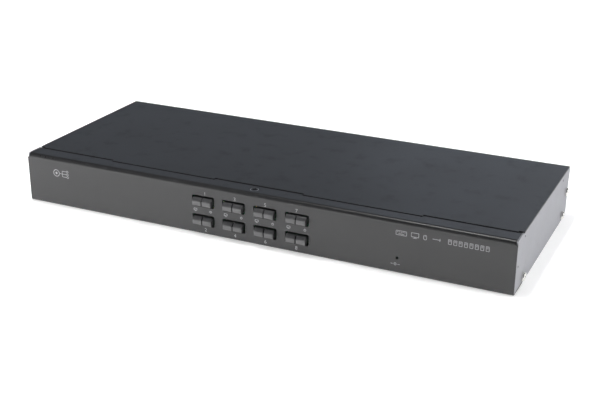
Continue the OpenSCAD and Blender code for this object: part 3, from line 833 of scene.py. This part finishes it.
def key_cap(number):
    """Two windows in front of a cup. The cup's outline goes back outside and comes forward inside."""
    middle, low, high = node_box(f"key_cap_{number}")
    width, height = (high - low)[[0, 2]]
    front, seat, rear = low[1], low[1] + seat_depth, high[1]
    half = (width - groove) / 2
    parts = [window(middle[0] + side * (groove + half) / 2, middle[2], half, height, front, side)
             for side in (-1, 1)]
    outside = rounded(width, height, 0.6)
    inside = rounded(width - 2 * cup_wall, height - 2 * cup_wall, 0.4)
    cup = ((outside, seat), (outside, rear - 0.2), (outside * 0.985, rear), (inside, rear),
           (inside, seat + 0.6))
    parts.append(loft(np.array([on_face(outline, middle[0], middle[2], y) for outline, y in cup])))
    return make_piece(f"cap_{number}", parts, key_grey, f"key_{number}",
                      [f"key_cap_{number}"], crease=50)


caps = [key_cap(n) for n in range(1, 9)]
print("caps:", len(caps), "with", len(caps[0].data.polygons), "faces each")

# %% [markdown]
# ## Printing
# The panel is screen printed in light grey ink. We print only generic marks: a numeral for each
# key, small pictograms of a keyboard, a screen, a mouse and eight computers, one ring joined to
# three, and a ring with a dot at the pinhole. Ink has a thickness, so each mark is a closed slab a
# few hundredths of a millimetre high. Numerals are text that is made a mesh before it is placed.

# %% Printing


def ink_finish():
    """Grey ink with the weave of the screen, thinner and darker in places."""
    ink = Finish("grey_ink")
    screen = ink.noise(0.35, 3.0)
    thin = ink.noise(1.4, 4.0).step(0.25, 0.5)
    grey = ink.blend(screen, (0.28, 0.28, 0.29), (0.37, 0.37, 0.38))
    return ink.surface({
        "Base Color": ink.blend(thin, (0.19, 0.19, 0.20), grey),
        "Roughness": 0.55 + 0.1 * screen,
        "Normal": ink.bump(screen, 0.01),
    })


grey_ink, ink_height = ink_finish(), 0.03
ink_front, ink_rear = face_y - ink_height, face_y + ink_height


def bar(x, z, width, height, radius=None):
    """A printed bar with round corners, as a slab between two equal outlines."""
    outline = rounded(width, height, min(width, height) * 0.49 if radius is None else radius, 5)
    return loft(np.array([on_face(outline, x, z, y) for y in (ink_rear, ink_front)]))


def bars(x, z, *shapes):
    """Several bars about a place, each from its offset, width, height and perhaps corner radius."""
    return [bar(x + dx, z + dz, *size) for dx, dz, *size in shapes]


def frame_mark(x, z, width, height, radius, stroke=0.45):
    """A printed frame: the wall between an outline and the same outline moved in by the stroke."""
    outer = rounded(width, height, radius, 7)
    inner = rounded(width - 2 * stroke, height - 2 * stroke, max(radius - stroke, 0.1), 7)
    order = ((outer, ink_rear), (outer, ink_front), (inner, ink_front), (inner, ink_rear))
    return ring_tube(np.array([on_face(o, x, z, y) for o, y in order]))


def numerals(marks, size):
    """Short texts at (text, x, z) in one mesh: each is made a mesh, turned upright and then placed."""
    joined, upright = bmesh.new(), Matrix.Rotation(math.radians(90), 4, "X")
    for text, x, z in marks:
        curve = bpy.data.curves.new("numeral", "FONT")
        curve.body, curve.size, curve.extrude = text, size * MM, ink_height * MM
        curve.align_x, curve.align_y = "CENTER", "CENTER"
        written = bpy.data.objects.new("numeral", curve)
        bpy.context.scene.collection.objects.link(written)
        evaluated = written.evaluated_get(bpy.context.evaluated_depsgraph_get())
        mesh = bpy.data.meshes.new_from_object(evaluated)
        bpy.data.objects.remove(written)
        mesh.transform(Matrix.Translation(Vector((x, face_y, z)) * MM) @ upright)
        joined.from_mesh(mesh)
    bmesh.ops.remove_doubles(joined, verts=joined.verts, dist=1e-6)
    mesh = bpy.data.meshes.new("numerals")
    joined.to_mesh(mesh)
    mesh.materials.append(grey_ink)
    piece = bpy.data.objects.new("numerals", mesh)
    bpy.context.scene.collection.objects.link(piece)
    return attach(piece, "case")


above, below, numeral_size = 36.4, 4.2, 4.4
numeral_x = key_x * 0.973 + 0.75
numerals([(str(n + 1), numeral_x[n], below if n % 2 else above) for n in range(8)], numeral_size)
lamp_marks = []
for x in key_x[::2]:
    lamp_marks += [frame_mark(x - 7.4, 21.5, 3.2, 2.0, 0.3, 0.4), bar(x - 7.4, 20.0, 1.6, 0.4)]
    lamp_marks += [frame_mark(x + 7.0, 21.2, 2.2, 2.2, 1.09, 0.4), bar(x + 7.0, 21.8, 0.4, 1.5)]
make_piece("lamp_marks", lamp_marks, grey_ink, "case")


def ring_mark(x, z, width, stroke=0.4):
    """A printed ring."""
    return frame_mark(x, z, width, width, width * 0.499, stroke)


def joined_mark(x, z):
    """One ring joined to three smaller rings, the generic sign for one desk and several computers."""
    spokes = bars(x, z, (6.9, 0, 7.0, 0.45), (6.2, 0, 0.45, 5.4), (8.3, 2.6, 4.2, 0.45),
                  (8.3, -2.6, 4.2, 0.45))
    desk = [ring_mark(x, z, 6.6, 0.6), bar(x, z, 2.2, 2.2)]
    return desk + spokes + [ring_mark(x + 11.6, z + dz, 2.2) for dz in (-2.6, 0, 2.6)]


def reset_mark(x, z):
    """A ring with a dot, between two short bars."""
    return [ring_mark(x, z, 2.3)] + bars(x, z, (0, 0, 0.6, 0.6), (-2.9, 0, 2.0, 0.4), (2.9, 0, 2.0, 0.4))


def keyboard_mark(x, z):
    """A frame with five keys and a space bar."""
    keys = [(dx, 0.75, 0.9, 0.5, 0.1) for dx in (-2.9, -1.45, 0, 1.45, 2.9)]
    return [frame_mark(x, z, 9, 4.0, 0.7)] + bars(x, z, *keys, (0, -0.75, 4.6, 0.5, 0.1))


def screen_mark(x, z):
    """A frame on a neck and a foot."""
    return [frame_mark(x, z + 0.4, 6.4, 3.8, 0.5)] + bars(x, z, (0, -1.75, 0.6, 0.8, 0.1),
                                                          (0, -2.2, 3.4, 0.45))


def mouse_mark(x, z):
    """A rounded frame with a wheel."""
    return [frame_mark(x, z, 2.8, 4.2, 1.35), bar(x, z + 0.9, 0.4, 1.1)]


def tower_mark(x, z):
    """A computer's case with two drive slots."""
    return [frame_mark(x, z, 2.8, 4.2, 0.4)] + bars(x, z, (0, 1.1, 1.3, 0.4), (0, 0.3, 1.3, 0.4))


marks_z, pictograms = 34.2, []
for x, draw in ((130.5, keyboard_mark), (141.5, screen_mark), (149.5, mouse_mark)):
    pictograms += draw(x, marks_z)
pictograms += bars(0, marks_z, (158.5, 0, 6.4, 0.5), (161.2, 0.55, 0.5, 1.5), (161.2, -0.55, 0.5, 1.5))
for x in np.linspace(169, 198, 8):
    pictograms += tower_mark(x, marks_z)
pictograms += joined_mark(-190, 30.5) + reset_mark(pinhole[0] - 1.5, 7.6)
make_piece("pictograms", pictograms, grey_ink, "case")
print("printed marks:", len(lamp_marks) + len(pictograms))

# %% [markdown]
# ## Finishes for the CAD nodes that stay
# Many nodes need no new shape. A node keeps its mesh, and gets its finish in its material slots.

# %% Carried-over nodes

inside_keys = [f"{kind}_{n}" for kind in ("light_barrier", "key_plunger") for n in range(1, 9)]
kept_nodes = {
    zinc_steel: ["chassis_tray"],
    bright_nickel: ["key_board_posts", "key_board_screws", "board_standoffs", "board_screws",
                    "video_shells", "jack_screws", "din_shields", "dc_pin", "crystal"],
    black_plastic: ["switch_housings", "reset_plunger", "reset_switch", "dc_jack", "chips",
                    "regulator", "beeper", "ribbon_headers"] + inside_keys,
    port_blue: ["video_inserts"],
    socket_purple: ["keyboard_socket"],
    socket_green: ["mouse_socket"],
    clear_lens: ["key_lamps"],
    varnish: ["key_board", "main_board"],
    sleeve_blue: ["capacitors"],
    black_anodised: ["heat_sink"],
    ribbon_grey: ["ribbon_cable"],
}
for finish, names in kept_nodes.items():
    for name in names:
        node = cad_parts[name]
        if not node.material_slots:
            node.data.materials.append(finish)
        for place in node.material_slots:
            place.material = finish
print("nodes with a new finish:", sum(len(names) for names in kept_nodes.values()))

# %% [markdown]
# ## Floor and light
# A pale floor runs far beyond the case. It glows a little, as a lit sweep of paper does, and two
# lights shine on it alone, so it stays white and still takes a soft shadow. The case has its own
# lights: a low card in front that mirrors don't see, three cards at the back that the cover
# mirrors from dark on the left to bright on the right, a small box overhead for the bend of the
# panel, and a box beside the bare steel.

# %% Floor and light


def floor_finish():
    """White paper that glows a little."""
    paper = Finish("paper")
    mottle = paper.noise(40, 3.0)
    white = paper.blend(mottle, (0.88, 0.88, 0.88), (0.90, 0.90, 0.90))
    return paper.surface({
        "Base Color": white,
        "Roughness": 0.9,
        "Emission Color": white,
        "Emission Strength": 0.30,
    })


floor_reach, floor_z = 9.0, -5e-5
quarters = ((-1, -1), (1, -1), (1, 1), (-1, 1))
corners = [(i * floor_reach, j * floor_reach, floor_z) for i, j in quarters]
floor_mesh = bpy.data.meshes.new("floor")
floor_mesh.from_pydata(corners, [], [(0, 1, 2, 3)])
floor_mesh.materials.append(floor_finish())
floor = bpy.data.objects.new("floor", floor_mesh)
bpy.context.scene.collection.objects.link(floor)


def soft_box(name, at, target, size, radiance, colour=(1, 1, 1), only=()):
    """A rectangular area light at a place, aimed at a target. Its power is pi x area x radiance."""
    light = bpy.data.lights.new(name, "AREA")
    light.shape, light.size, light.size_y, light.color = "RECTANGLE", *size, colour
    light.energy = math.pi * size[0] * size[1] * radiance
    lamp = bpy.data.objects.new(name, light)
    lamp.matrix_world = axes_of((Vector(at) - Vector(target)).normalized()).to_4x4()
    lamp.location = at
    lamp.visible_camera = False
    bpy.context.scene.collection.objects.link(lamp)
    if only:
        lamp.light_linking.receiver_collection = bpy.data.collections.new(name + "_receivers")
        for receiver in only:
            lamp.light_linking.receiver_collection.objects.link(receiver)
    return lamp


middle, cool = (0, 0, 0), (0.84, 0.93, 1.08)
soft_box("floor_box", (0, 0.02, 3.0), middle, (8.0, 8.0), 0.66, only=[floor])
soft_box("floor_left", (-0.28, 0.06, 0.42), (-0.28, 0.06, 0), (0.3, 0.3), 85.0, only=[floor])
front_card = soft_box("front_card", (-0.75, -0.75, 0.13), (-0.1, 0, 0.02), (0.8, 0.2), 29.0)
front_card.visible_glossy = False
soft_box("back_left", (-2.0, 3.1, 1.25), middle, (1.9, 1.1), 0.50, cool)
soft_box("back_middle", (-0.4, 3.1, 1.25), middle, (1.3, 1.1), 0.82, cool)
soft_box("back_right", (0.9, 3.1, 1.25), middle, (1.3, 1.1), 4.0)
soft_box("bend_box", (-0.28, 0.0, 2.0), middle, (0.35, 0.2), 36.0)
soft_box("side_box", (1.6, 0.2, 0.7), middle, (0.8, 0.8), 3.3)

world_colour = (0.030, 0.031, 0.034, 1.0)
world = bpy.data.worlds.new("studio")
world.use_nodes = True
world.node_tree.nodes["Background"].inputs["Color"].default_value = world_colour
bpy.context.scene.world = world
bpy.context.scene.view_settings.view_transform = "Standard"
print("lights:", len(bpy.data.lights))
